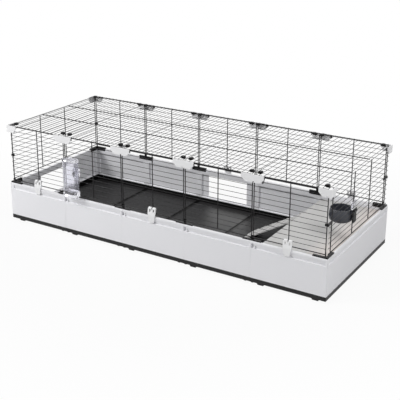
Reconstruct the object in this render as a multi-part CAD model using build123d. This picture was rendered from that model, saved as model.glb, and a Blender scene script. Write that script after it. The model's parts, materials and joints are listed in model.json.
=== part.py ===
from build123d import *
import math
import os

# Driving dimensions of the modular rabbit hutch, in millimetres
module_pitch = 350.0
module_count = 5
hutch_depth = 720.0
wall_thickness = 12.5
foot_height = 8.0
skirt_top = 23.0
floor_top = 12.0
rim_top = 203.0
low_rod_z = 220.0
hinge_wire_z = 482.0
roof_rod_z = 509.0
rod_across = 4.5
wire_across = 2.2
wall_wire_count = 11
roof_wire_count = 13

# The bottle stands out in front and the rear clips behind, so the walls sit off the middle
bottle_depth = 40.0
bottle_back = 1.5
bottle_base_lap = 2.0
bottle_reach = bottle_depth + bottle_base_lap - bottle_back
clip_reach = 4.0
front_y = -(hutch_depth + clip_reach - bottle_reach) / 2
rear_y = front_y + hutch_depth
mid_y = (front_y + rear_y) / 2
hutch_length = module_count * module_pitch + 2 * wall_thickness
half_length = hutch_length / 2
half_module = module_pitch / 2
half_depth = hutch_depth / 2
module_x = [(i - (module_count - 1) / 2) * module_pitch for i in range(module_count)]
seam_x = [x + half_module for x in module_x[:-1]]
door_modules = (1, 3, 5)

# Doorways for the animal
doorway_low = 48.0
doorway_high = 168.0
rear_doorway_width = 236.0
left_doorway_width = 270.0

# Wall panel section: lip over a sloped finger recess, with ribs at the panel's ends
recess_low = 170.0
recess_deep = 192.5
recess_top = 194.8
recess_depth = 8.0
left_rib = 21.0
right_rib = 9.5
pocket_from = 1.5
pocket_to = 16.0
pocket_depth = 10.0
lip_chamfer = 1.5
web_thickness = 4.5
field_low = 42.0
field_high = 172.0
field_margin = 18.0
tongue_from = 4.0
tongue_to = 8.0
tongue_drop = 8.0
tongue_inset = 10.0
tongue_play = 0.2

# Wire layers, measured inwards from the outer face: rods lie outside the uprights
rod_radius = rod_across / 2
wire_radius = wire_across / 2
rod_layer = 7.5
upright_layer = rod_layer + rod_across
weld_plane = rod_layer + rod_radius
wire_layer = weld_plane - wire_radius
edge_upright = 4.5
rod_gap = 2.0
wire_pitch = (hinge_wire_z - low_rod_z) / wall_wire_count
clip_wire_z = low_rod_z + wire_pitch
top_wire_z = roof_rod_z - rod_radius - wire_radius - 0.15
top_wire_inset = 13.0
end_half_width = half_depth - 14.5
left_edge_inset = 3.75
right_edge_inset = 33.5
end_upright_low = -75.0
end_upright_high = 122.0
roof_rod_offset = 105.0
running_fit = 0.05

# White connectors that carry the wall panels and the roof
plate_from = -0.5
plate_to = 2.5
plate_low = hinge_wire_z - 6.0
plate_high = roof_rod_z + 2.5
plate_half = 55.0
plate_taper = 19.0
door_slot_z = hinge_wire_z + 0.25
door_slot_play = 0.75
wire_seat_from = 32.5
wire_seat_to = 42.5
wire_seat_height = 5.5
roof_seat_from = 7.6
roof_seat_to = 14.4
roof_seat_height = 10.0
seat_wall = 2.5
corner_arm = 58.0

# Black hooks on the connectors' ends
hook_thickness = 2.5
hook_from = 0.0
hook_to = 5.0
hook_lap = 6.0
hook_low = plate_low + plate_taper
hook_high = roof_rod_z - 2.0

# Black caps on the roof panels, each hooked over the second wire from the side
cap_from = 29.0
cap_to = 43.0
cap_width = 17.0
cap_low = roof_rod_z - 1.0
cap_high = roof_rod_z + 12.0
cap_lap = 3.0

# Black pieces along the rim and at mid height
rim_block_height = 6.5
rim_block_from = 5.5
corner_block_from = 2.5
rim_connector_half = 45.0
rim_bracket_arm = 72.0
flange_drop = 13.0
flange_thickness = 2.5
stop_from = upright_layer + rod_radius + 0.25
stop_thickness = 2.5
stop_top = 226.0
stop_half = 7.0
mid_clip_z = 345.5
mid_clip_height = 11.0

# White locking clips
clip_half_top = 21.0
clip_half_low = 14.0
clip_slot_half = 2.5
clip_window_from = 6.5
clip_window_to = 14.0
clip_bottom = 173.0
clip_eye_radius = 4.2
clip_gap = 0.4
clip_thickness = clip_reach - clip_gap

# Platform and ramp over the right-hand module
platform_left = 552.5
platform_top = 178.0
platform_skin = 3.0
platform_skirt = 16.0
platform_corner = 45.0
platform_clear = 1.0
leg_across = 26.0
leg_inset = 40.0
ramp_y = mid_y + 70.0
ramp_width = 125.0
ramp_foot_x = 272.5
ramp_thickness = 5.0
ramp_bar_radius = 3.0
ramp_bar_x = platform_left - 7.0
ramp_bar_z = platform_top - 4.5
ramp_hook_offset = 42.0
ramp_hook_width = 16.0
ramp_cleat_count = 6

# Drinking bottle on front panel 2
bottle_x = -462.5
bottle_width = 82.0
bottle_corner = 14.0
bottle_wall = 2.0
bottle_base_low = 220.0
bottle_base_high = 246.0
bottle_lid_low = 398.0
bottle_lid_high = 410.0
valve_z = low_rod_z + 4.5 * wire_pitch
valve_stem_radius = 9.0
valve_body_from = 12.0
valve_body_to = 38.0

# Food bowl on the right-hand end panel
bowl_x = -52.0
bowl_low = 258.0
bowl_high = 318.0
bowl_rim_radius = 50.0
bowl_belly_radius = 56.0
bowl_base_radius = 43.0
bowl_wall = 2.5
bracket_half = 17.0
bracket_to = 15.0
bracket_low = 260.0
bracket_high = 328.0
bracket_shelf_z = 288.0
bowl_hook_low = 330.0
bowl_hook_high = 368.0
bowl_centre = bracket_to + 4.0 + bowl_belly_radius


# Places of the four sides, whose own frames have y = 0 on the outer face and +y inwards
def front_at(x):
    return Pos(x, front_y, 0)


def rear_at(x):
    return Pos(x, rear_y, 0) * Rot(0, 0, 180)


left_side = Pos(-half_length, mid_y, 0) * Rot(0, 0, -90)
right_side = Pos(half_length, mid_y, 0) * Rot(0, 0, 90)


# Basic solids
def block(x_from, x_to, y_from, y_to, z_from, z_to):
    size = (x_to - x_from, y_to - y_from, z_to - z_from)
    return Pos(x_from, y_from, z_from) * Box(*size, align=(Align.MIN, Align.MIN, Align.MIN))


def outline(points):
    return make_face(Polyline(*points, close=True))


def along_x(points_yz, x_from, x_to):
    return extrude(Plane.YZ.offset(x_from) * outline(points_yz), x_to - x_from, dir=(1, 0, 0))


def along_y(points_xz, y_from, y_to):
    plane = Plane(origin=(0, y_from, 0), x_dir=(1, 0, 0), z_dir=(0, -1, 0))
    return extrude(plane * outline(points_xz), y_to - y_from, dir=(0, 1, 0))


def along_z(points_xy, z_from, z_to):
    return extrude(Pos(0, 0, z_from) * outline(points_xy), z_to - z_from, dir=(0, 0, 1))


def cylinder_x(x_from, x_to, y, z, radius):
    turned = Pos((x_from + x_to) / 2, y, z) * Rot(0, 90, 0)
    return turned * Cylinder(radius, x_to - x_from)


# Drawn rods have flats where they are welded: eight sides for rods, six for thin wires
def bar(plane, length, across, sides):
    corner_radius = across / 2 / math.cos(math.pi / sides)
    turn = 180 / sides if sides == 8 else 0
    return extrude(plane * RegularPolygon(corner_radius, sides, rotation=turn), length)


def bar_x(x_from, x_to, y, z, across, sides):
    plane = Plane(origin=(x_from, y, z), x_dir=(0, 0, 1), z_dir=(1, 0, 0))
    return bar(plane, x_to - x_from, across, sides)


def bar_y(y_from, y_to, x, z, across, sides):
    plane = Plane(origin=(x, y_from, z), x_dir=(1, 0, 0), z_dir=(0, 1, 0))
    return bar(plane, y_to - y_from, across, sides)


def bar_z(z_from, z_to, x, y, across, sides):
    plane = Plane(origin=(x, y, z_from), x_dir=(1, 0, 0), z_dir=(0, 0, 1))
    return bar(plane, z_to - z_from, across, sides)


def group(shapes):
    return Compound(children=[solid for shape in shapes for solid in shape.solids()])


def placed(location, shape):
    return group([location * solid for solid in shape.solids()])


# One floor tray: ledge under the walls, upstand behind them, channels for their tongues, feet
def floor_tray(left_end, right_end):
    low_x = -half_module - (wall_thickness if left_end else 0)
    high_x = half_module + (wall_thickness if right_end else 0)
    upstand_from = wall_thickness + 0.2
    upstand_to = upstand_from + 3.5
    upstand_top = 38.0
    channel_floor = skirt_top - tongue_drop - 0.5
    seam_groove = 7.0
    seam_depth = 2.5
    foot_x = 50.0
    foot_half = 18.0
    foot_taper = 4.0
    foot_from = 3.0
    foot_to = 23.0
    lug_half = 6.0
    lug_height = 4.0
    tray = block(low_x, high_x, 0, hutch_depth, foot_height, skirt_top)

    def inside(inset, z_from, z_to):
        x_from = low_x + (inset if left_end else 0)
        x_to = high_x - (inset if right_end else 0)
        return block(x_from, x_to, inset, hutch_depth - inset, z_from, z_to)

    tray += inside(upstand_from, skirt_top, upstand_top)
    tray -= inside(upstand_to, floor_top, upstand_top)
    run = half_module - tongue_inset + 1
    end_run = half_depth - 29.0
    slot = (tongue_from - tongue_play, tongue_to + tongue_play)
    tray -= block(-run, run, slot[0], slot[1], channel_floor, skirt_top)
    tray -= block(-run, run, hutch_depth - slot[1], hutch_depth - slot[0], channel_floor, skirt_top)
    end_channel = (half_depth - end_run, half_depth + end_run, channel_floor, skirt_top)
    groove = (upstand_to, hutch_depth - upstand_to, floor_top - seam_depth, floor_top)
    foot_places = [-half_module + foot_x]
    lug_places = []
    if left_end:
        tray -= block(low_x + slot[0], low_x + slot[1], *end_channel)
    else:
        tray -= block(low_x, low_x + seam_groove, *groove)
        lug_places.append(low_x + 9.0)
    if right_end:
        tray -= block(high_x - slot[1], high_x - slot[0], *end_channel)
        foot_places.append(high_x - foot_x)
    else:
        tray -= block(high_x - seam_groove, high_x, *groove)
        lug_places.append(high_x - 27.0)
    for x in foot_places:
        foot = [
            (x - foot_half, foot_height),
            (x + foot_half, foot_height),
            (x + foot_half - foot_taper, 0),
            (x - foot_half + foot_taper, 0),
        ]
        tray += along_y(foot, foot_from, foot_to)
        tray += along_y(foot, hutch_depth - foot_to, hutch_depth - foot_from)
    for x in lug_places:
        lug_z = (foot_height - lug_height, foot_height)
        tray += block(x - lug_half, x + lug_half, foot_from, foot_to, *lug_z)
        tray += block(x - lug_half, x + lug_half, hutch_depth - foot_to, hutch_depth - foot_from, *lug_z)
    return tray


# One white wall panel, framed round a thin web; corner ends are mitred so that the lip runs on
def wall_panel(low_x, high_x, mitre_low, mitre_high, tongue_half, doorway_width=0.0):
    section = [
        (0, skirt_top),
        (0, rim_top - lip_chamfer),
        (lip_chamfer, rim_top),
        (wall_thickness, rim_top),
        (wall_thickness, skirt_top),
    ]
    panel = along_x(section, low_x, high_x)
    slope = (recess_deep - recess_low) / recess_depth
    recess = [(-1, recess_low - slope), (recess_depth, recess_deep), (-1, recess_top)]
    panel -= along_x(recess, low_x + left_rib, high_x - right_rib)
    if not mitre_low:
        pocket = [
            (-1, recess_low - 2),
            (pocket_depth, recess_low + 6),
            (pocket_depth, recess_deep + 1),
            (-1, recess_deep + 1),
        ]
        panel -= along_x(pocket, low_x + pocket_from, low_x + pocket_to)
    field_from = low_x + field_margin + (wall_thickness if mitre_low else 0)
    field_to = high_x - field_margin - (wall_thickness if mitre_high else 0)
    panel -= block(field_from, field_to, web_thickness, wall_thickness + 1, field_low, field_high)
    tongue_z = (skirt_top - tongue_drop, skirt_top)
    panel += block(-tongue_half, tongue_half, tongue_from, tongue_to, *tongue_z)
    if mitre_high:
        triangle = [(high_x, 0), (high_x, wall_thickness), (high_x - wall_thickness, wall_thickness)]
        panel -= along_z(triangle, 0, rim_top + 1)
    if mitre_low:
        triangle = [(low_x, 0), (low_x, wall_thickness), (low_x + wall_thickness, wall_thickness)]
        panel -= along_z(triangle, 0, rim_top + 1)
    if doorway_width:
        half = doorway_width / 2
        panel -= block(-half, half, -1, wall_thickness + 1, doorway_low, doorway_high)
    return panel


# One welded wall mesh: level wires outside, uprights inside; a door turns on its round wire
def wall_mesh(half_width, upright_places, is_door):
    wires = [bar_x(-half_width, half_width, rod_layer, low_rod_z, rod_across, 8)]
    for level in range(1, wall_wire_count):
        z = low_rod_z + level * wire_pitch
        wires.append(bar_x(-half_width, half_width, wire_layer, z, wire_across, 6))
    if is_door:
        wires.append(cylinder_x(-half_width, half_width, wire_layer, hinge_wire_z, wire_radius))
    else:
        wires.append(bar_x(-half_width, half_width, wire_layer, hinge_wire_z, wire_across, 6))
    top_half = half_width - top_wire_inset
    wires.append(bar_x(-top_half, top_half, wire_layer, top_wire_z, wire_across, 6))
    for x in upright_places:
        ends = (low_rod_z - rod_radius, top_wire_z + wire_radius)
        wires.append(bar_z(*ends, x, upright_layer, rod_across, 8))
    return group(wires)


# One roof panel: long rods below, cross wires welded on them; it hinges on its round rear rod
roof_side_x = half_module - edge_upright
roof_pitch = 2 * roof_side_x / (roof_wire_count + 1)


def roof_panel():
    half_width = half_module - rod_gap
    ends = (rod_layer, hutch_depth - rod_layer)
    wires = [cylinder_x(-half_width, half_width, hutch_depth - rod_layer, roof_rod_z, rod_radius)]
    for y in (rod_layer, half_depth - roof_rod_offset, half_depth + roof_rod_offset):
        wires.append(bar_x(-half_width, half_width, y, roof_rod_z, rod_across, 8))
    for number in range(roof_wire_count + 2):
        x = -roof_side_x + number * roof_pitch
        wires.append(bar_y(*ends, x, roof_rod_z + rod_radius + wire_radius, wire_across, 6))
    return group(wires)


# Four caps of one roof panel: a sloped head on the second wire from the side and a stem beside it
def roof_caps():
    wire_x = roof_side_x - roof_pitch
    wire_edge = wire_x + wire_radius * 2 / math.sqrt(3) + running_fit
    wire_top = roof_rod_z + rod_radius + wire_across + running_fit
    shoulder = (wire_top + cap_high) / 2
    points = [
        (wire_edge, cap_low),
        (wire_edge + cap_width, cap_low),
        (wire_edge + cap_width, shoulder),
        (wire_edge + cap_width - 5.0, cap_high),
        (wire_edge + 1.0, cap_high),
        (wire_x - cap_lap, shoulder),
        (wire_x - cap_lap, wire_top),
        (wire_edge, wire_top),
    ]
    cap = along_y(points, cap_from, cap_to)
    pair = [cap, mirror(cap, about=Plane.YZ)]
    rear = [Pos(0, hutch_depth, 0) * mirror(piece, about=Plane.XZ) for piece in pair]
    return group(pair + rear)


# Open seat behind a connector's plate for a wire or rod that turns or rests in it
def seat(x_from, x_to, axis_y, axis_z, radius, height):
    half = radius + running_fit
    holder = block(x_from, x_to, plate_to, axis_y + half + seat_wall, axis_z - height, axis_z)
    return holder - block(x_from, x_to, axis_y - half, axis_y + half, axis_z - half, axis_z)


def wire_seat(x_from, x_to):
    corner_radius = wire_radius * 2 / math.sqrt(3)
    return seat(x_from, x_to, wire_layer, hinge_wire_z, corner_radius, wire_seat_height)


def roof_seat(x_from, x_to):
    return seat(x_from, x_to, rod_layer, roof_rod_z, rod_radius, roof_seat_height)


# White connector over a seam, slotted on its door's side so that the door's upright can swing out
def seam_connector():
    low_half = plate_half - plate_taper
    slot_half = rod_radius + door_slot_play
    points = [
        (-low_half, plate_low),
        (edge_upright - slot_half, plate_low),
        (edge_upright - slot_half, door_slot_z),
        (edge_upright + slot_half, door_slot_z),
        (edge_upright + slot_half, plate_low),
        (low_half, plate_low),
        (plate_half, plate_low + plate_taper),
        (plate_half, plate_high),
        (-plate_half, plate_high),
        (-plate_half, plate_low + plate_taper),
    ]
    connector = along_y(points, plate_from, plate_to)
    for side in (-1, 1):
        connector += wire_seat(*sorted((side * wire_seat_from, side * wire_seat_to)))
        connector += roof_seat(*sorted((side * roof_seat_from, side * roof_seat_to)))
    return connector


# Black hook lapped round one end of a seam connector
def end_hook():
    start = plate_half + running_fit
    end = start + hook_thickness
    hook = block(start, end, hook_from, hook_to, hook_low, hook_high)
    behind = plate_to + running_fit
    return hook + block(plate_half - hook_lap, end, behind, hook_to, hook_low, hook_high)


# White connector round a corner; its own origin is the hutch's front left outer corner
def corner_connector():
    slot_half = rod_radius + door_slot_play
    slot_x = wall_thickness + edge_upright
    arm_end = [(corner_arm - plate_taper, plate_low), (corner_arm, plate_low + plate_taper)]
    arm_end += [(corner_arm, plate_high), (plate_from, plate_high)]
    front_arm = [(plate_from, plate_low), (slot_x - slot_half, plate_low)]
    front_arm += [(slot_x - slot_half, door_slot_z), (slot_x + slot_half, door_slot_z)]
    front_arm += [(slot_x + slot_half, plate_low)] + arm_end
    side_arm = [(plate_from, plate_low)] + arm_end
    across = Plane(origin=(0, 0, 0), z_dir=(1, -1, 0))
    connector = along_y(front_arm, plate_from, plate_to) + wire_seat(wire_seat_from, wire_seat_to)
    connector += roof_seat(wall_thickness + roof_seat_from, wall_thickness + roof_seat_to)
    connector += along_x(side_arm, plate_from, plate_to)
    return connector + mirror(wire_seat(wire_seat_from, wire_seat_to), about=across)


# Black snap clip at mid height: closed round the end panel's upright, open for the front one
def mid_clip(edge_inset):
    reach = 26.0
    end_side = 7.9
    bar_y_from = weld_plane + 0.15
    end_x = upright_layer
    end_y = half_depth - end_half_width + edge_inset
    front_x = wall_thickness + edge_upright
    play = 0.1
    half = rod_radius + play
    top = mid_clip_z + mid_clip_height
    clip = block(end_side, reach, bar_y_from, 17.0, mid_clip_z, top)
    clip += block(end_side + 2.0, end_x + 5.0, bar_y_from, end_y + 5.0, mid_clip_z, top)
    hole = (end_x - half, end_x + half, end_y - half, end_y + half)
    clip -= block(*hole, mid_clip_z - 1, top + 1)
    slot_half = rod_radius + 0.4
    slot_y = upright_layer + rod_radius + 0.2
    slot = (front_x - slot_half, front_x + slot_half, 0, slot_y)
    return clip - block(*slot, mid_clip_z - 1, top + 1)


# Black connector on the rim over a seam, with the stop tab behind the uprights
def rim_connector():
    top = rim_top + rim_block_height
    half = rim_connector_half
    piece = block(-half, half, rim_block_from, wall_thickness + flange_thickness, rim_top, top)
    flange = (wall_thickness, wall_thickness + flange_thickness, rim_top - flange_drop, rim_top)
    piece += block(-half, half, *flange)
    stop = (stop_from, stop_from + stop_thickness, rim_top, stop_top)
    return piece + block(-stop_half, stop_half, *stop)


# Black bracket round a rim corner; its own origin is the hutch's front left outer corner
def rim_corner_bracket():
    top = rim_top + rim_block_height
    arm = rim_bracket_arm
    inner = wall_thickness + flange_thickness
    corner = [
        (corner_block_from, corner_block_from),
        (arm, corner_block_from),
        (arm, inner),
        (inner, inner),
        (inner, arm),
        (corner_block_from, arm),
    ]
    piece = along_z(corner, rim_top, top)
    flange = [
        (wall_thickness, wall_thickness),
        (arm, wall_thickness),
        (arm, inner),
        (inner, inner),
        (inner, arm),
        (wall_thickness, arm),
    ]
    piece += along_z(flange, rim_top - flange_drop, rim_top)
    stop = (stop_from, stop_from + stop_thickness, rim_top, stop_top)
    return piece + block(inner + 0.5, inner + 6.0, *stop)


# White locking clip: two loops with eyes on the door's lowest thin wire, a tapered body, a nose
def locking_clip():
    eye_y = wire_layer
    eye_z = clip_wire_z
    face_y = -clip_gap
    front = -clip_reach
    side = [
        (eye_y - clip_eye_radius - 2.5, eye_z + 2.0),
        (front, rim_top + 7.0),
        (front, clip_bottom + 3.0),
        (front + 1.5, clip_bottom),
        (face_y, clip_bottom),
        (face_y, recess_low + 11.0),
        (3.0, recess_low + 15.0),
        (3.0, recess_low + 19.0),
        (face_y, recess_low + 21.0),
        (face_y, rim_top + 3.0),
        (3.4, low_rod_z),
        (eye_y - 1.5, eye_z - clip_eye_radius),
        (eye_y + clip_eye_radius, eye_z - clip_eye_radius),
        (eye_y + clip_eye_radius, eye_z + 1.5),
        (eye_y + 1.5, eye_z + clip_eye_radius),
        (eye_y - clip_eye_radius, eye_z + clip_eye_radius),
    ]
    body = along_x(side, -clip_half_top, clip_half_top)
    half_front = [
        (clip_slot_half, eye_z - 8.0),
        (clip_slot_half + 1.5, eye_z + 6.0),
        (clip_half_top - 4.0, eye_z + 6.0),
        (clip_half_top, eye_z - 2.0),
        (clip_half_top, low_rod_z),
        (clip_half_low + 3.0, rim_top - 4.0),
        (clip_half_low, clip_bottom + 6.0),
        (clip_half_low - 4.0, clip_bottom - 1.0),
    ]
    front_outline = half_front + [(-x, z) for x, z in reversed(half_front)]
    clip = body & along_y(front_outline, front - 1, eye_y + clip_eye_radius + 1)
    for side in (-1, 1):
        window = sorted((side * clip_window_from, side * clip_window_to))
        clip -= block(*window, front - 1, eye_y, low_rod_z + 6.0, eye_z - clip_eye_radius)
    eye = wire_radius * 2 / math.sqrt(3) + running_fit
    clip -= cylinder_x(-clip_half_top - 1, clip_half_top + 1, eye_y, eye_z, eye)
    mouth = (eye_y, eye_y + clip_eye_radius + 1, eye_z - eye, eye_z + eye)
    return clip - block(-clip_half_top - 1, clip_half_top + 1, *mouth)


# Platform: one moulding with a turned-down edge, four legs and the bar that the ramp hangs on
def platform():
    right = half_length - wall_thickness - platform_clear
    low_y = front_y + wall_thickness + flange_thickness + platform_clear
    high_y = rear_y - wall_thickness - flange_thickness - platform_clear
    size = (right - platform_left, high_y - low_y)
    centre = ((right + platform_left) / 2, (low_y + high_y) / 2)
    low = platform_top - platform_skirt
    shell = Pos(*centre, low) * extrude(Rectangle(*size), platform_skirt)
    left_edges = shell.edges().filter_by(Axis.Z).group_by(Axis.X)[0]
    shell = fillet(left_edges, platform_corner)
    hollow = offset(shell.faces().sort_by(Axis.Z)[0], -platform_skin)
    shell -= extrude(hollow, platform_skirt - platform_skin, dir=(0, 0, 1))
    leg_run = platform_top - platform_skin - floor_top
    for x in (platform_left + leg_inset, right - leg_inset):
        for y in (low_y + leg_inset, high_y - leg_inset):
            plane = Plane(origin=(x, y, floor_top), z_dir=(0, 0, 1))
            shell += bar(plane, leg_run, leg_across, 8)
    half_bar = ramp_width / 2
    rod = Pos(ramp_bar_x, ramp_y, ramp_bar_z) * Rot(90, 0, 0) * Cylinder(ramp_bar_radius, ramp_width)
    shell += rod
    lug_width = 6.0
    for y in (ramp_y - half_bar, ramp_y - lug_width / 2, ramp_y + half_bar - lug_width):
        lug_z = (ramp_bar_z - ramp_bar_radius, ramp_bar_z + ramp_bar_radius)
        shell += block(ramp_bar_x, platform_left + 1, y, y + lug_width, *lug_z)
    return shell


# Ramp: a cleated board whose two hooks turn on the platform's bar
def ramp():
    drop = ramp_bar_z - floor_top
    run = ramp_bar_x - ramp_foot_x
    length = math.hypot(run, drop)
    hook_out = ramp_bar_radius + 3.0
    under = -ramp_bar_radius - 0.5
    half = ramp_width / 2
    # Drawn lying level with its hooks at the origin and its foot at -x, then tilted onto the floor
    tilt = math.asin(drop / math.hypot(length, under)) + math.atan2(under, length)
    foot_cut = ramp_thickness / math.tan(tilt)
    side = [
        (-hook_out - 3.0, under),
        (-hook_out - 3.0, under - ramp_thickness),
        (-length + foot_cut, under - ramp_thickness),
        (-length, under),
    ]
    board = along_y(side, -half, half)
    for number in range(1, ramp_cleat_count + 1):
        x = -length * number / (ramp_cleat_count + 1)
        board += block(x - 4.0, x + 4.0, -half + 8.0, half - 8.0, under, under + 3.0)
    for y in (-ramp_hook_offset, ramp_hook_offset):
        y_from = y - ramp_hook_width / 2
        y_to = y + ramp_hook_width / 2
        hook = Pos(0, y, 0) * Rot(90, 0, 0) * Cylinder(hook_out, ramp_hook_width)
        hook += block(-hook_out - 8.0, 0, y_from, y_to, under - ramp_thickness, under + 2.0)
        board += hook
    eye = Rot(90, 0, 0) * Cylinder(ramp_bar_radius + running_fit, ramp_width + 2)
    mouth = block(0, hook_out + 1, -half, half, -hook_out - 1, -ramp_bar_radius * 0.4)
    board -= eye + mouth
    return Pos(ramp_bar_x, ramp_y, ramp_bar_z) * Rot(0, -math.degrees(tilt), 0) * board


# Drinking bottle: flat clear tube with a lid, a base and a valve through the mesh
def rounded_prism(width, depth, corner, z_from, z_to):
    return Pos(0, 0, z_from) * extrude(RectangleRounded(width, depth, corner), z_to - z_from)


bottle_place = Pos(bottle_x, front_y + bottle_back - bottle_depth / 2, 0)


def bottle_body():
    tube = rounded_prism(bottle_width, bottle_depth, bottle_corner, bottle_base_high, bottle_lid_low)
    bore = (bottle_width - 2 * bottle_wall, bottle_depth - 2 * bottle_wall, bottle_corner - bottle_wall)
    tube -= rounded_prism(*bore, bottle_base_high, bottle_lid_low)
    return bottle_place * tube


def bottle_lid():
    size = (bottle_width + 3.0, bottle_depth + 3.0, bottle_corner + 1.5)
    return bottle_place * rounded_prism(*size, bottle_lid_low, bottle_lid_high)


def bottle_base():
    lap = bottle_base_lap
    size = (bottle_width + 2 * lap, bottle_depth + 2 * lap, bottle_corner + lap)
    return bottle_place * rounded_prism(*size, bottle_base_low, bottle_base_high)


def drinking_valve():
    half_width = 15.0
    half_height = 22.0
    stem_run = valve_body_from - bottle_back + 1.0
    stem_y = bottle_back + stem_run / 2
    stem = Pos(0, stem_y, valve_z) * Rot(90, 0, 0) * Cylinder(valve_stem_radius, stem_run)
    body_z = (valve_z - half_height, valve_z + half_height)
    body = block(-half_width, half_width, valve_body_from, valve_body_to, *body_z)
    body = chamfer(body.faces().sort_by(Axis.Y)[-1].edges(), 5.0)
    nozzle_radius = 4.0
    nozzle_run = 14.0
    nozzle_y = (valve_body_from + valve_body_to) / 2
    nozzle_z = valve_z - half_height - nozzle_run / 2
    nozzle = Pos(0, nozzle_y, nozzle_z) * Cylinder(nozzle_radius, nozzle_run)
    return front_at(bottle_x) * (stem + body + nozzle)


# Hanging food bowl with its lug, and the bracket and hook that hold it on the end panel
def food_bowl():
    sides = 24
    belly_z = bowl_low + 18.0

    def flared(radius_from, radius_to, z_from, z_to):
        lean = math.atan((radius_from - radius_to) * math.cos(math.pi / sides) / (z_to - z_from))
        ring = Pos(bowl_x, bowl_centre, z_from) * RegularPolygon(radius_from, sides)
        return extrude(ring, z_to - z_from, taper=math.degrees(lean))

    belly_inside = bowl_belly_radius - bowl_wall
    rim_inside = bowl_rim_radius - bowl_wall
    bowl = flared(bowl_base_radius, bowl_belly_radius, bowl_low, belly_z)
    bowl += flared(bowl_belly_radius, bowl_rim_radius, belly_z, bowl_high)
    lug_to = bowl_centre - rim_inside + 1.0
    bowl += block(bowl_x - 7.0, bowl_x + 7.0, bracket_to, lug_to, bracket_shelf_z, bowl_high - 8.0)
    bowl -= flared(bowl_base_radius - 1.0, belly_inside, bowl_low + bowl_wall, belly_z)
    bowl -= flared(belly_inside, rim_inside, belly_z, bowl_high)
    return right_side * bowl


def bowl_bracket():
    hook_z = low_rod_z + 4 * wire_pitch + wire_radius * 2 / math.sqrt(3) + running_fit
    low_x = bowl_x - bracket_half
    high_x = bowl_x + bracket_half
    piece = block(low_x, high_x, weld_plane, bracket_to, bracket_low, bracket_high)
    piece += block(low_x, high_x, bracket_to, bracket_to + 4.0, bracket_shelf_z - 6.0, bracket_shelf_z)
    piece += block(low_x, high_x, wire_layer - 3.5, weld_plane, hook_z, hook_z + 5.0)
    piece += block(low_x, high_x, wire_layer - 3.5, wire_layer - 1.3, hook_z - 6.0, hook_z)
    return right_side * piece


def bowl_hook():
    upright_x = end_upright_low
    half = rod_radius + 0.15
    levels = (bowl_hook_low, bowl_hook_high)
    inner_y = upright_layer + half
    piece = block(upright_x - 13.0, upright_x + 27.0, weld_plane + 0.1, bracket_to, *levels)
    piece += block(upright_x - 11.0, upright_x + 13.0, bracket_to, bracket_to + 2.5, *levels)
    piece -= block(upright_x - half, upright_x + half, 0, inner_y, *levels)
    return right_side * piece


# All pieces by name
nodes = {}
for number, x in enumerate(module_x, start=1):
    first = number == 1
    last = number == module_count
    nodes[f"floor_tray_{number}"] = front_at(x) * floor_tray(first, last)
    low = -half_module - (wall_thickness if first else 0)
    high = half_module + (wall_thickness if last else 0)
    tongue = half_module - tongue_inset
    nodes[f"front_wall_{number}"] = front_at(x) * wall_panel(low, high, first, last, tongue)
    opening = rear_doorway_width if number == (module_count + 1) // 2 else 0.0
    rear_wall = wall_panel(-high, -low, last, first, tongue, opening)
    nodes[f"rear_wall_{number}"] = rear_at(x) * rear_wall
    side_x = half_module - edge_upright
    mesh = wall_mesh(half_module - rod_gap, (-side_x, 0, side_x), number in door_modules)
    nodes[f"front_mesh_{number}"] = placed(front_at(x), mesh)
    nodes[f"rear_mesh_{number}"] = placed(rear_at(x), mesh)
    nodes[f"roof_panel_{number}"] = placed(front_at(x), roof_panel())
    nodes[f"roof_caps_{number}"] = placed(front_at(x), roof_caps())
    if number in door_modules:
        nodes[f"front_clip_{number}"] = front_at(x) * locking_clip()
        nodes[f"rear_clip_{number}"] = rear_at(x) * locking_clip()

end_tongue = half_depth - 30.0
end_wall = (-half_depth, half_depth, True, True, end_tongue)
nodes["left_end_wall"] = left_side * wall_panel(*end_wall, left_doorway_width)
nodes["right_end_wall"] = right_side * wall_panel(*end_wall)
middle_uprights = (end_upright_low, end_upright_high)
for side, place, inset in (("left", left_side, left_edge_inset), ("right", right_side, right_edge_inset)):
    end_edge = end_half_width - inset
    end_mesh = wall_mesh(end_half_width, (-end_edge, *middle_uprights, end_edge), False)
    nodes[f"{side}_end_mesh"] = placed(place, end_mesh)

# Front doors lie right of every second seam; at the rear the connectors are turned round
connector = seam_connector()
mirrored = mirror(connector, about=Plane.YZ)
hook = end_hook()
turned_hook = mirror(hook, about=Plane.YZ)
rim_piece = rim_connector()
connectors = []
hooks = []
rim_pieces = []
for number, x in enumerate(seam_x, start=1):
    door_on_left = number in door_modules
    connectors.append(front_at(x) * (mirrored if door_on_left else connector))
    connectors.append(rear_at(x) * (connector if door_on_left else mirrored))
    hooks += [front_at(x) * hook, rear_at(x) * turned_hook]
    rim_pieces += [front_at(x) * rim_piece, rear_at(x) * rim_piece]
nodes["top_connectors"] = group(connectors)
nodes["connector_end_hooks"] = group(hooks)
nodes["rim_connectors"] = group(rim_pieces)


def at_corners(left_piece, right_piece):
    right = mirror(right_piece, about=Plane.YZ)
    front = [Pos(-half_length, front_y, 0) * left_piece, Pos(half_length, front_y, 0) * right]
    rear_left = Pos(-half_length, rear_y, 0) * mirror(left_piece, about=Plane.XZ)
    rear_right = Pos(half_length, rear_y, 0) * mirror(right, about=Plane.XZ)
    return group(front + [rear_left, rear_right])


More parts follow.
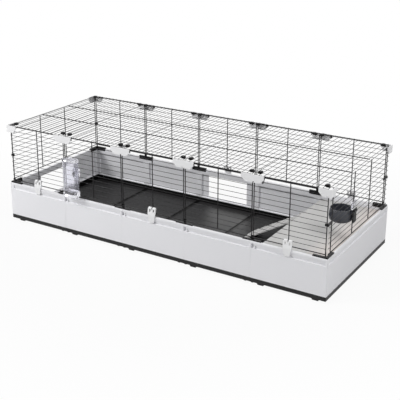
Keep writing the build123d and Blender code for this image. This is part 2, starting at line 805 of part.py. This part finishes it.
corner = corner_connector()
bracket = rim_corner_bracket()
nodes["corner_top_connectors"] = at_corners(corner, corner)
nodes["corner_mid_clips"] = at_corners(mid_clip(left_edge_inset), mid_clip(right_edge_inset))
nodes["rim_corner_brackets"] = at_corners(bracket, bracket)
nodes["platform"] = platform()
nodes["ramp"] = ramp()
nodes["bottle_body"] = bottle_body()
nodes["bottle_lid"] = bottle_lid()
nodes["bottle_base"] = bottle_base()
nodes["drinking_valve"] = drinking_valve()
nodes["food_bowl"] = food_bowl()
nodes["bowl_bracket"] = bowl_bracket()
nodes["bowl_hook"] = bowl_hook()

os.makedirs("parts", exist_ok=True)
for name, shape in nodes.items():
    export_step(shape, f"parts/{name}.step")
print(len(nodes), "nodes written")
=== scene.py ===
import bpy
import bmesh
import json
import math
import numpy as np
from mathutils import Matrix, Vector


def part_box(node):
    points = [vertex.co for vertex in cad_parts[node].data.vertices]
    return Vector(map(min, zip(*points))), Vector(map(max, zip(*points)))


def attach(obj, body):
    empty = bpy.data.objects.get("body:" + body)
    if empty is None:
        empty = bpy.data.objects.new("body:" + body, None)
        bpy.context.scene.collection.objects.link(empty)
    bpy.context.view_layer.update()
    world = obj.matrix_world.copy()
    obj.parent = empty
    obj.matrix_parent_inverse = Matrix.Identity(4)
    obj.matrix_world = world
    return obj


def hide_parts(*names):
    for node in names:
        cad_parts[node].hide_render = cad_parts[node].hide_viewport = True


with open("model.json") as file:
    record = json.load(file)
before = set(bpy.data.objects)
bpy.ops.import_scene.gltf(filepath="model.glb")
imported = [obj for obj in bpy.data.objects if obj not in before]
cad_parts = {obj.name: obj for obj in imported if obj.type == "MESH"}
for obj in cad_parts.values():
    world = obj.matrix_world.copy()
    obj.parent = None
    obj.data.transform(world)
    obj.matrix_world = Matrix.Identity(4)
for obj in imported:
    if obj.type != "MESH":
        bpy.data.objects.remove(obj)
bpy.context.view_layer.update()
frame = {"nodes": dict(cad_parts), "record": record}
nodes = frame["nodes"]
bodies = frame["record"]["behaviour"]["bodies"]
bodyOf = {node: body for body, members in bodies.items() for node in members}
slotOf = {part["node"]: part["material_slot"] for part in frame["record"]["subparts"]}
print("frame loaded:", len(nodes), "nodes")

# Finishes: linear colours, lowest and highest roughness, grain per metre, depth of the grain's bump
finishes = {
    "white_wall": dict(
        tint=(0.80, 0.80, 0.825), shade=(0.775, 0.775, 0.80), rough=(0.40, 0.52), grain=1400, depth=0.10,
    ),
    "white_fitting": dict(
        tint=(0.82, 0.82, 0.83), shade=(0.79, 0.79, 0.80), rough=(0.36, 0.48), grain=1600, depth=0.08,
    ),
    # black_tray's second, darker colour is painted shade on the upright border and in the seam grooves of the
    # trays
    "black_tray": dict(
        tint=(0.020, 0.020, 0.0205), shade=(0.028, 0.0275, 0.028), rough=(0.40, 0.54), grain=900, depth=0.25,
        paintedShade=(0.002, 0.002, 0.002), specular=0.15,
    ),
    "black_fitting": dict(
        tint=(0.007, 0.007, 0.0075), shade=(0.011, 0.011, 0.0115), rough=(0.38, 0.50), grain=1500, depth=0.10,
        specular=0.18,
    ),
    "black_wire": dict(
        tint=(0.009, 0.0085, 0.009), shade=(0.014, 0.013, 0.014), rough=(0.34, 0.46), grain=700, depth=0.05,
        specular=0.18,
    ),
    # cream_platform's second, lighter and warmer colour is painted warm light over its right end, rising
    # along x from 0.74 m to 0.86 m
    "cream_platform": dict(
        tint=(0.49, 0.485, 0.48), shade=(0.46, 0.455, 0.45), rough=(0.50, 0.62), grain=800, depth=0.22,
        paintedWarmLight=(0.64, 0.58, 0.55), paintedLightFrom=0.74, paintedLightTo=0.86,
    ),
    "clear_plastic": dict(
        tint=(0.93, 0.93, 0.97), shade=(0.90, 0.90, 0.95), rough=(0.04, 0.10), grain=300, depth=0.04,
        transmission=0.92, ior=1.3,
    ),
    "smoky_plastic": dict(
        tint=(0.085, 0.091, 0.110), shade=(0.070, 0.075, 0.092), rough=(0.08, 0.16), grain=300, depth=0.04,
        transmission=0.35, ior=1.45,
    ),
}
constantSockets = {"specular": "Specular IOR Level", "transmission": "Transmission Weight", "ior": "IOR"}
noiseValues = dict(cloudScale=3.0, cloudDetail=3.0, grainDetail=2.0, bumpDistance=0.0004)


# Moulded surface: slow clouds mix two tints, fine noise gives the grain's height and roughness
def mouldedGrainGroup():
    group = bpy.data.node_groups.new("mouldedGrain", "ShaderNodeTree")
    socket = group.interface.new_socket
    for name in ("Tint", "Shade"):
        socket(name, in_out="INPUT", socket_type="NodeSocketColor")
    for name in ("Grain Scale", "Cloud Scale", "Rough Low", "Rough High"):
        socket(name, in_out="INPUT", socket_type="NodeSocketFloat")
    socket("Color", in_out="OUTPUT", socket_type="NodeSocketColor")
    for name in ("Roughness", "Height"):
        socket(name, in_out="OUTPUT", socket_type="NodeSocketFloat")
    make, link = group.nodes.new, group.links.new
    given, result = make("NodeGroupInput"), make("NodeGroupOutput")
    place = make("ShaderNodeTexCoord")
    cloud, grain = make("ShaderNodeTexNoise"), make("ShaderNodeTexNoise")
    cloud.inputs["Detail"].default_value = noiseValues["cloudDetail"]
    grain.inputs["Detail"].default_value = noiseValues["grainDetail"]
    for noise, scale in ((cloud, "Cloud Scale"), (grain, "Grain Scale")):
        link(place.outputs["Object"], noise.inputs["Vector"])
        link(given.outputs[scale], noise.inputs["Scale"])
    mix = make("ShaderNodeMix")
    mix.data_type = "RGBA"
    link(cloud.outputs["Fac"], mix.inputs["Factor"])
    link(given.outputs["Tint"], mix.inputs["A"])
    link(given.outputs["Shade"], mix.inputs["B"])
    span = make("ShaderNodeMapRange")
    link(grain.outputs["Fac"], span.inputs["Value"])
    link(given.outputs["Rough Low"], span.inputs["To Min"])
    link(given.outputs["Rough High"], span.inputs["To Max"])
    link(mix.outputs["Result"], result.inputs["Color"])
    link(span.outputs["Result"], result.inputs["Roughness"])
    link(grain.outputs["Fac"], result.inputs["Height"])
    return group


grainGroup = mouldedGrainGroup()

# Inside the trays: the upright border starts at low, and a seam groove lies at every pitch; both get painted
# shade
trayPaintedShadeZone = dict(middle=(0.0, 0.01825), half=(0.876, 0.352), low=0.0125, pitch=0.35, grooveHalf=0.013)


# Painted shade mask: 1 on the upright border and along the seam grooves inside the trays, where shade falls,
# 0 elsewhere
def trayPaintedShadeMask():
    group = bpy.data.node_groups.new("trayPaintedShadeZone", "ShaderNodeTree")
    group.interface.new_socket("Painted Shade", in_out="OUTPUT", socket_type="NodeSocketFloat")
    make, link = group.nodes.new, group.links.new
    place, split = make("ShaderNodeTexCoord"), make("ShaderNodeSeparateXYZ")
    result = make("NodeGroupOutput")
    link(place.outputs["Object"], split.inputs[0])

    def step(operation, source, value=0.0):
        node = make("ShaderNodeMath")
        node.operation = operation
        link(source, node.inputs[0])
        if isinstance(value, float):
            node.inputs[1].default_value = value
        else:
            link(value, node.inputs[1])
        return node.outputs[0]

    inside = []
    for axis, middle, half in zip("XY", trayPaintedShadeZone["middle"], trayPaintedShadeZone["half"]):
        away = step("ABSOLUTE", step("SUBTRACT", split.outputs[axis], middle))
        inside.append(step("LESS_THAN", away, half))
    upright = step("GREATER_THAN", split.outputs["Z"], trayPaintedShadeZone["low"])
    halfPitch = trayPaintedShadeZone["pitch"] / 2
    fromSeam = step("PINGPONG", step("ADD", split.outputs["X"], halfPitch), halfPitch)
    seam = step("LESS_THAN", fromSeam, trayPaintedShadeZone["grooveHalf"])
    # Painted shade goes on the upright border and in the seam grooves, inside the trays
    paintedShade = step("MULTIPLY", step("MULTIPLY", *inside), step("MAXIMUM", upright, seam))
    link(paintedShade, result.inputs["Painted Shade"])
    return group


paintedShadeMask = trayPaintedShadeMask()


# One finish: the shared grain feeds a Principled shader; the trays mix in a darker colour as painted shade
# and the platform a lighter, warmer colour as painted warm light
def finishMaterial(slot, values):
    material = bpy.data.materials.new(slot)
    material.use_nodes = True
    make, link = material.node_tree.nodes.new, material.node_tree.links.new
    shader = material.node_tree.nodes["Principled BSDF"]
    grain, bump = make("ShaderNodeGroup"), make("ShaderNodeBump")
    grain.node_tree = grainGroup
    grain.inputs["Tint"].default_value = (*values["tint"], 1)
    grain.inputs["Shade"].default_value = (*values["shade"], 1)
    grain.inputs["Grain Scale"].default_value = values["grain"]
    grain.inputs["Cloud Scale"].default_value = noiseValues["cloudScale"]
    grain.inputs["Rough Low"].default_value = values["rough"][0]
    grain.inputs["Rough High"].default_value = values["rough"][1]
    bump.inputs["Strength"].default_value = values["depth"]
    bump.inputs["Distance"].default_value = noiseValues["bumpDistance"]
    link(grain.outputs["Color"], shader.inputs["Base Color"])
    link(grain.outputs["Roughness"], shader.inputs["Roughness"])
    link(grain.outputs["Height"], bump.inputs["Height"])
    link(bump.outputs["Normal"], shader.inputs["Normal"])
    for key, socket in constantSockets.items():
        if key in values:
            shader.inputs[socket].default_value = values[key]

    def mixIn(factor, colour):
        mix = make("ShaderNodeMix")
        mix.data_type = "RGBA"
        mix.inputs["B"].default_value = (*colour, 1)
        link(factor, mix.inputs["Factor"])
        link(grain.outputs["Color"], mix.inputs["A"])
        link(mix.outputs["Result"], shader.inputs["Base Color"])

    # Painted shade: a darker colour on the trays' upright border and in their seam grooves
    if "paintedShade" in values:
        paintedShade = make("ShaderNodeGroup")
        paintedShade.node_tree = paintedShadeMask
        mixIn(paintedShade.outputs["Painted Shade"], values["paintedShade"])
    # Painted warm light: a lighter, warmer colour rising along x towards the platform's right end
    if "paintedWarmLight" in values:
        place, split = make("ShaderNodeTexCoord"), make("ShaderNodeSeparateXYZ")
        ramp = make("ShaderNodeMapRange")
        ramp.inputs["From Min"].default_value = values["paintedLightFrom"]
        ramp.inputs["From Max"].default_value = values["paintedLightTo"]
        link(place.outputs["Object"], split.inputs[0])
        link(split.outputs["X"], ramp.inputs["Value"])
        mixIn(ramp.outputs["Result"], values["paintedWarmLight"])
    return material


materials = {slot: finishMaterial(slot, values) for slot, values in finishes.items()}
for name, node in nodes.items():
    node.data.materials.clear()
    node.data.materials.append(materials[slotOf[name]])
print("materials made:", len(materials))


# Puts a mesh in the scene in place of CAD nodes of one body
def standFor(name, mesh, replaced):
    piece = bpy.data.objects.new(name, mesh)
    bpy.context.scene.collection.objects.link(piece)
    mesh.materials.clear()
    mesh.materials.append(materials[slotOf[replaced[0]]])
    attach(piece, bodyOf[replaced[0]])
    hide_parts(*replaced)
    return piece


def meshFrom(name, points, quads, triangles=()):
    mesh = bpy.data.meshes.new(name)
    mesh.from_pydata(points.tolist(), [], np.asarray(quads).tolist() + np.asarray(triangles).tolist())
    mesh.polygons.foreach_set("use_smooth", np.ones(len(mesh.polygons), dtype=bool))
    mesh.update()
    return mesh


# Quads between neighbouring rings of points, each ring closed on itself
def ringQuads(rings, sides):
    row, column = np.meshgrid(np.arange(rings - 1), np.arange(sides), indexing="ij")
    after = (column + 1) % sides
    low, high = row * sides, (row + 1) * sides
    return np.stack([low + column, low + after, high + after, high + column], -1).reshape(-1, 4)


wireShape = dict(sides=14, capRings=3, mergeDigits=6, steep=0.9)


# Round wires: each is a circle carried from start to end, closing over a half ball at both ends
def wireMesh(name, starts, ends, radii):
    sides, capRings = wireShape["sides"], wireShape["capRings"]
    starts, ends, radii = (np.asarray(values, float) for values in (starts, ends, radii))
    count = len(starts)
    along = ends - starts
    length = np.linalg.norm(along, axis=1)
    along /= length[:, None]
    upright = np.abs(along[:, 2:3]) > wireShape["steep"]
    helper = np.where(upright, [[1.0, 0.0, 0.0]], [[0.0, 0.0, 1.0]])
    first = np.cross(helper, along)
    first /= np.linalg.norm(first, axis=1)[:, None]
    second = np.cross(along, first)
    lift = np.linspace(0, math.pi / 2, capRings + 1)[1:]
    fromStart = np.outer(radii, 1 - np.cos(lift))
    toEnd = length[:, None] - np.outer(radii, 1 - np.cos(lift[::-1]))
    offset = np.concatenate([fromStart, toEnd], axis=1)[:, :, None, None]
    spread = np.outer(radii, np.sin(np.concatenate([lift, lift[::-1]])))[:, :, None, None]
    turn = (np.arange(sides) * 2 * math.pi / sides)[None, :, None]
    ring = np.cos(turn) * first[:, None] + np.sin(turn) * second[:, None]
    body = starts[:, None, None] + offset * along[:, None, None] + spread * ring[:, None]
    points = np.concatenate([starts[:, None], ends[:, None], body.reshape(count, -1, 3)], axis=1)
    base = np.arange(count)[:, None, None] * points.shape[1]
    rings = 2 * capRings
    quads = (2 + ringQuads(rings, sides)[None] + base).reshape(-1, 4)
    low, high = np.arange(sides), (np.arange(sides) + 1) % sides
    lastRing = 2 + (rings - 1) * sides
    startFan = np.stack([np.zeros(sides, int), 2 + high, 2 + low], -1)
    endFan = np.stack([np.ones(sides, int), lastRing + low, lastRing + high], -1)
    fans = (np.concatenate([startFan, endFan])[None] + base).reshape(-1, 3)
    return meshFrom(name, points.reshape(-1, 3), quads, fans)


# Each CAD bar of a panel becomes a round wire of the same place, length and thickness
def wiresOf(node):
    mesh = nodes[node].data
    points = np.empty(len(mesh.vertices) * 3)
    mesh.vertices.foreach_get("co", points)
    rounded = np.round(points.reshape(-1, 3), wireShape["mergeDigits"])
    merged, index = np.unique(rounded, axis=0, return_inverse=True)
    corners = np.empty(len(mesh.loops), int)
    mesh.loops.foreach_get("vertex_index", corners)
    faces = index.ravel()[corners].reshape(-1, 3)
    # Points that share a face take the lowest label among them until nothing changes
    label = np.arange(len(merged))
    while True:
        lowest = label[faces].min(axis=1)
        fresh = label.copy()
        np.minimum.at(fresh, faces.ravel(), np.repeat(lowest, 3))
        fresh = fresh[fresh]
        if (fresh == label).all():
            break
        label = fresh
    starts, ends, radii = [], [], []
    for solid in np.unique(label):
        part = merged[label == solid]
        low, high = part.min(axis=0), part.max(axis=0)
        axis = int(np.argmax(high - low))
        start, end = (low + high) / 2, (low + high) / 2
        start[axis], end[axis] = low[axis], high[axis]
        starts.append(start)
        ends.append(end)
        radii.append(np.delete(high - low, axis).min() / 2)
    return starts, ends, radii


wireNodes = [name for name in nodes if slotOf[name] == "black_wire"]
for name in wireNodes:
    standFor(name + "_wires", wireMesh(name + "_wires", *wiresOf(name)), [name])
print("wire panels drawn:", len(wireNodes))

# Moulded pieces keep their CAD form and get the small rounding of a real mould, in metres
softEdges = dict(
    floor_tray=0.0012, front_wall=0.0011, rear_wall=0.0011, left_end_wall=0.0011, right_end_wall=0.0011,
    top_connectors=0.0009, corner_top_connectors=0.0009, connector_end_hooks=0.0004,
    rim_connectors=0.0009, rim_corner_brackets=0.0009, corner_mid_clips=0.0008, roof_caps=0.0012,
    front_clip=0.0008, rear_clip=0.0008, platform=0.0012, ramp=0.0007, bowl_bracket=0.0012, bowl_hook=0.0008,
)
softValues = dict(mergeWithin=1e-6, flatDegrees=0.5, sharpDegrees=25, segments=2)

# In the copies the walls' finger groove is shallower and deepest at its foot, so that its long slope
# looks down, and the black skirt of the trays reaches a little higher up the walls
groove = dict(cadDeepest=0.1925, deepest=0.1712, depthShare=0.78)
skirt = dict(cadTop=0.023, top=0.028)
levelTolerance = 0.0002


# Moves the points of a copy that lie at the two levels above; the groove's also go towards the outer face
def refit(mesh, hasGroove):
    points = np.empty(len(mesh.vertices) * 3, np.float32)
    mesh.vertices.foreach_get("co", points)
    points = points.reshape(-1, 3)
    points[np.abs(points[:, 2] - skirt["cadTop"]) < levelTolerance, 2] = skirt["top"]
    if hasGroove:
        low, high = points.min(axis=0), points.max(axis=0)
        across = int(np.argmin((high - low)[:2]))
        outer = low[across] if low[across] + high[across] < 0 else high[across]
        moved = np.abs(points[:, 2] - groove["cadDeepest"]) < levelTolerance
        points[moved, across] = outer + (points[moved, across] - outer) * groove["depthShare"]
        points[moved, 2] = groove["deepest"]
    mesh.vertices.foreach_set("co", points.ravel())


def softened(name, width):
    source = nodes[name].data.copy()
    if slotOf[name] in ("white_wall", "black_tray"):
        refit(source, slotOf[name] == "white_wall")
    shape = bmesh.new()
    shape.from_mesh(source)
    bpy.data.meshes.remove(source)
    bmesh.ops.remove_doubles(shape, verts=shape.verts, dist=softValues["mergeWithin"])
    flat = math.radians(softValues["flatDegrees"])
    bmesh.ops.dissolve_limit(shape, angle_limit=flat, verts=shape.verts, edges=shape.edges)
    bmesh.ops.connect_verts_concave(shape, faces=shape.faces[:])
    mesh = bpy.data.meshes.new(name + "_moulded")
    shape.to_mesh(mesh)
    shape.free()
    bevel = standFor(name + "_moulded", mesh, [name]).modifiers.new("rounding", "BEVEL")
    bevel.width = width
    bevel.segments = softValues["segments"]
    bevel.limit_method = "ANGLE"
    bevel.angle_limit = math.radians(softValues["sharpDegrees"])


softCount = 0
for name in list(nodes):
    kind = name if name in softEdges else name.rsplit("_", 1)[0]
    if kind in softEdges:
        softened(name, softEdges[kind])
        softCount += 1
print("moulded pieces softened:", softCount)

# Bowl: neck, swell and foot are shares of its radius, the other profile values shares of its height
bowlShape = dict(
    turns=96, rows=22, wall=0.0025, neck=0.893, swell=0.107, swellRise=1.75, fallFrom=0.3, fallPower=1.4,
    foot=0.77, footHeight=0.14, footPower=0.6,
    lugReach=0.0135, lugGap=0.0003, lugHalf=0.007, lugFrom=0.030, lugTo=0.052,
)


# Food bowl: the radius swells as a quarter sine, falls off towards the rim by a power and draws in
# at the foot by another; this profile is turned about the bowl's axis, and a block is its hanging lug
def bowlMesh():
    low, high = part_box("food_bowl")
    radius = (high.y - low.y) / 2
    centre = (low.x + radius, (low.y + high.y) / 2)
    height = high.z - low.z
    wall, fallFrom = bowlShape["wall"], bowlShape["fallFrom"]
    up = np.linspace(0, 1, bowlShape["rows"])
    swelling = np.sin(np.clip(up * bowlShape["swellRise"], 0, 1) * math.pi / 2)
    falling = np.clip((up - fallFrom) / (1 - fallFrom), 0, 1) ** bowlShape["fallPower"]
    bulge = radius * (bowlShape["neck"] + bowlShape["swell"] * (swelling - falling))
    drawn = np.clip(up / bowlShape["footHeight"], 0, 1) ** bowlShape["footPower"]
    footRadius = radius * bowlShape["foot"]
    across = np.minimum(footRadius + (bulge - footRadius) * drawn, bulge)
    outside = np.stack([across, up * height], -1)
    inside = np.stack([across[::-1] - wall, np.maximum(up[::-1] * height, wall)], -1)
    profile = np.concatenate([outside, inside])
    rows, sides = len(profile), bowlShape["turns"]
    turn = np.arange(sides) * 2 * math.pi / sides
    rings = np.stack([
        centre[0] + profile[:, None, 0] * np.cos(turn),
        centre[1] + profile[:, None, 0] * np.sin(turn),
        low.z + np.repeat(profile[:, None, 1], sides, 1),
    ], -1)
    poles = np.array([[*centre, low.z], [*centre, low.z + wall]])
    points = np.concatenate([rings.reshape(-1, 3), poles])
    ring = np.arange(sides)
    nextRing = (ring + 1) % sides
    lastRing = (rows - 1) * sides
    bottom = np.stack([np.full(sides, rows * sides), nextRing, ring], -1)
    top = np.stack([np.full(sides, rows * sides + 1), lastRing + ring, lastRing + nextRing], -1)
    lugSpans = (
        (high.x - bowlShape["lugReach"], high.x - bowlShape["lugGap"]),
        (centre[1] - bowlShape["lugHalf"], centre[1] + bowlShape["lugHalf"]),
        (low.z + bowlShape["lugFrom"], low.z + bowlShape["lugTo"]),
    )
    lug = np.stack(np.meshgrid(*lugSpans, indexing="ij"), -1).reshape(-1, 3)
    lugFaces = [[0, 1, 3, 2], [4, 6, 7, 5], [0, 4, 5, 1], [2, 3, 7, 6], [0, 2, 6, 4], [1, 5, 7, 3]]
    quads = np.concatenate([ringQuads(rows, sides), np.array(lugFaces) + len(points)])
    return meshFrom("foodBowl", np.concatenate([points, lug]), quads, np.concatenate([bottom, top]))


standFor("foodBowl", bowlMesh(), ["food_bowl"])
print("food bowl turned")

# Stage: the share of white paper in the floor rises from near the hutch to far away from it
stageValues = dict(
    floorSize=30.0, floorTint=0.60, paperShare=0.92, paperGlow=1.0, paperFrom=0.95, paperTo=1.9, ambient=0.20,
)


# 1 for rays from the camera, in reflections and through clear plastic, 0 for light on the hutch
def paperSeen(tree):
    path = tree.nodes.new("ShaderNodeLightPath")
    direct, seen = tree.nodes.new("ShaderNodeMath"), tree.nodes.new("ShaderNodeMath")
    direct.operation = seen.operation = "MAXIMUM"
    tree.links.new(path.outputs["Is Camera Ray"], direct.inputs[0])
    tree.links.new(path.outputs["Is Glossy Ray"], direct.inputs[1])
    tree.links.new(direct.outputs[0], seen.inputs[0])
    tree.links.new(path.outputs["Is Transmission Ray"], seen.inputs[1])
    return seen.outputs[0]


def floorPaper():
    material = bpy.data.materials.new("floorPaper")
    material.use_nodes = True
    tree = material.node_tree
    tree.nodes.clear()
    make, link = tree.nodes.new, tree.links.new
    matt, glow = make("ShaderNodeBsdfDiffuse"), make("ShaderNodeEmission")
    mix, output = make("ShaderNodeMixShader"), make("ShaderNodeOutputMaterial")
    place, reach = make("ShaderNodeTexCoord"), make("ShaderNodeVectorMath")
    spread, share = make("ShaderNodeMapRange"), make("ShaderNodeMath")
    matt.inputs["Color"].default_value = (*[stageValues["floorTint"]] * 3, 1)
    glow.inputs["Strength"].default_value = stageValues["paperGlow"]
    reach.operation = "LENGTH"
    share.operation = "MULTIPLY"
    spread.inputs["From Min"].default_value = stageValues["paperFrom"]
    spread.inputs["From Max"].default_value = stageValues["paperTo"]
    spread.inputs["To Min"].default_value = stageValues["paperShare"]
    link(place.outputs["Object"], reach.inputs[0])
    link(reach.outputs["Value"], spread.inputs["Value"])
    link(spread.outputs["Result"], share.inputs[0])
    link(paperSeen(tree), share.inputs[1])
    link(share.outputs[0], mix.inputs["Fac"])
    link(matt.outputs[0], mix.inputs[1])
    link(glow.outputs[0], mix.inputs[2])
    link(mix.outputs[0], output.inputs["Surface"])
    return material


def makeFloor():
    half = stageValues["floorSize"] / 2
    corners = np.array([[-half, -half, 0], [half, -half, 0], [half, half, 0], [-half, half, 0]])
    mesh = meshFrom("floor", corners, np.array([[0, 1, 2, 3]]))
    floor = bpy.data.objects.new("floor", mesh)
    bpy.context.scene.collection.objects.link(floor)
    mesh.materials.append(floorPaper())


def makeSurround():
    world = bpy.data.worlds.new("studio")
    bpy.context.scene.world = world
    world.use_nodes = True
    tree = world.node_tree
    sky, paper = tree.nodes["Background"], tree.nodes.new("ShaderNodeBackground")
    sky.inputs["Strength"].default_value = stageValues["ambient"]
    sky.inputs["Color"].default_value = (1, 1, 1, 1)
    paper.inputs["Color"].default_value = (1, 1, 1, 1)
    mix = tree.nodes.new("ShaderNodeMixShader")
    tree.links.new(paperSeen(tree), mix.inputs["Fac"])
    tree.links.new(sky.outputs[0], mix.inputs[1])
    tree.links.new(paper.outputs[0], mix.inputs[2])
    tree.links.new(mix.outputs[0], tree.nodes["World Output"].inputs["Surface"])


makeFloor()
makeSurround()

# Soft boxes: place, aim and size in metres, power in watts
softBoxes = dict(
    key=dict(place=(-3.3, -3.2, 3.3), aim=(-0.4, 0, 0.2), size=2.0, power=218),
    fill=dict(place=(2.7, -0.7, 2.4), aim=(0.85, 0, 0.15), size=1.0, power=41),
    top=dict(place=(0.3, 0.4, 4.6), aim=(0, 0, 0), size=3.2, power=60),
    back=dict(place=(-2.2, 4.6, 2.2), aim=(-0.2, 0, 0.1), size=2.4, power=42),
)


def aimed(obj, place, aim):
    obj.location = place
    direction = obj.location.copy()
    direction.x, direction.y, direction.z = (a - p for a, p in zip(aim, place))
    obj.rotation_euler = direction.to_track_quat("-Z", "Y").to_euler()


for name, values in softBoxes.items():
    lamp = bpy.data.lights.new(name, "AREA")
    lamp.shape = "SQUARE"
    lamp.size = values["size"]
    lamp.energy = values["power"]
    holder = bpy.data.objects.new(name, lamp)
    bpy.context.scene.collection.objects.link(holder)
    aimed(holder, values["place"], values["aim"])
print("stage and lamps set")

# Camera: place in metres, turn about the upright axis and tilt down in degrees, focal length in pixels
cameraValues = dict(
    place=(2.1163, -3.3735, 1.7246), turn=31.99, tilt=18.59, focalPixels=853.1, framePixels=400,
    sensor=36.0, shift=(0.02, -0.1), clipEnd=60,
)


def makeCamera():
    lens = bpy.data.cameras.new("camera")
    lens.sensor_width = cameraValues["sensor"]
    lens.lens = cameraValues["focalPixels"] / cameraValues["framePixels"] * cameraValues["sensor"]
    lens.shift_x, lens.shift_y = cameraValues["shift"]
    lens.clip_end = cameraValues["clipEnd"]
    camera = bpy.data.objects.new("camera", lens)
    bpy.context.scene.collection.objects.link(camera)
    camera.location = cameraValues["place"]
    tilt = math.radians(90 - cameraValues["tilt"])
    camera.rotation_euler = (tilt, 0, math.radians(cameraValues["turn"]))
    bpy.context.scene.camera = camera


makeCamera()
print("camera set")
bpy.context.scene.view_settings.view_transform = "Standard"
bpy.context.view_layer.update()
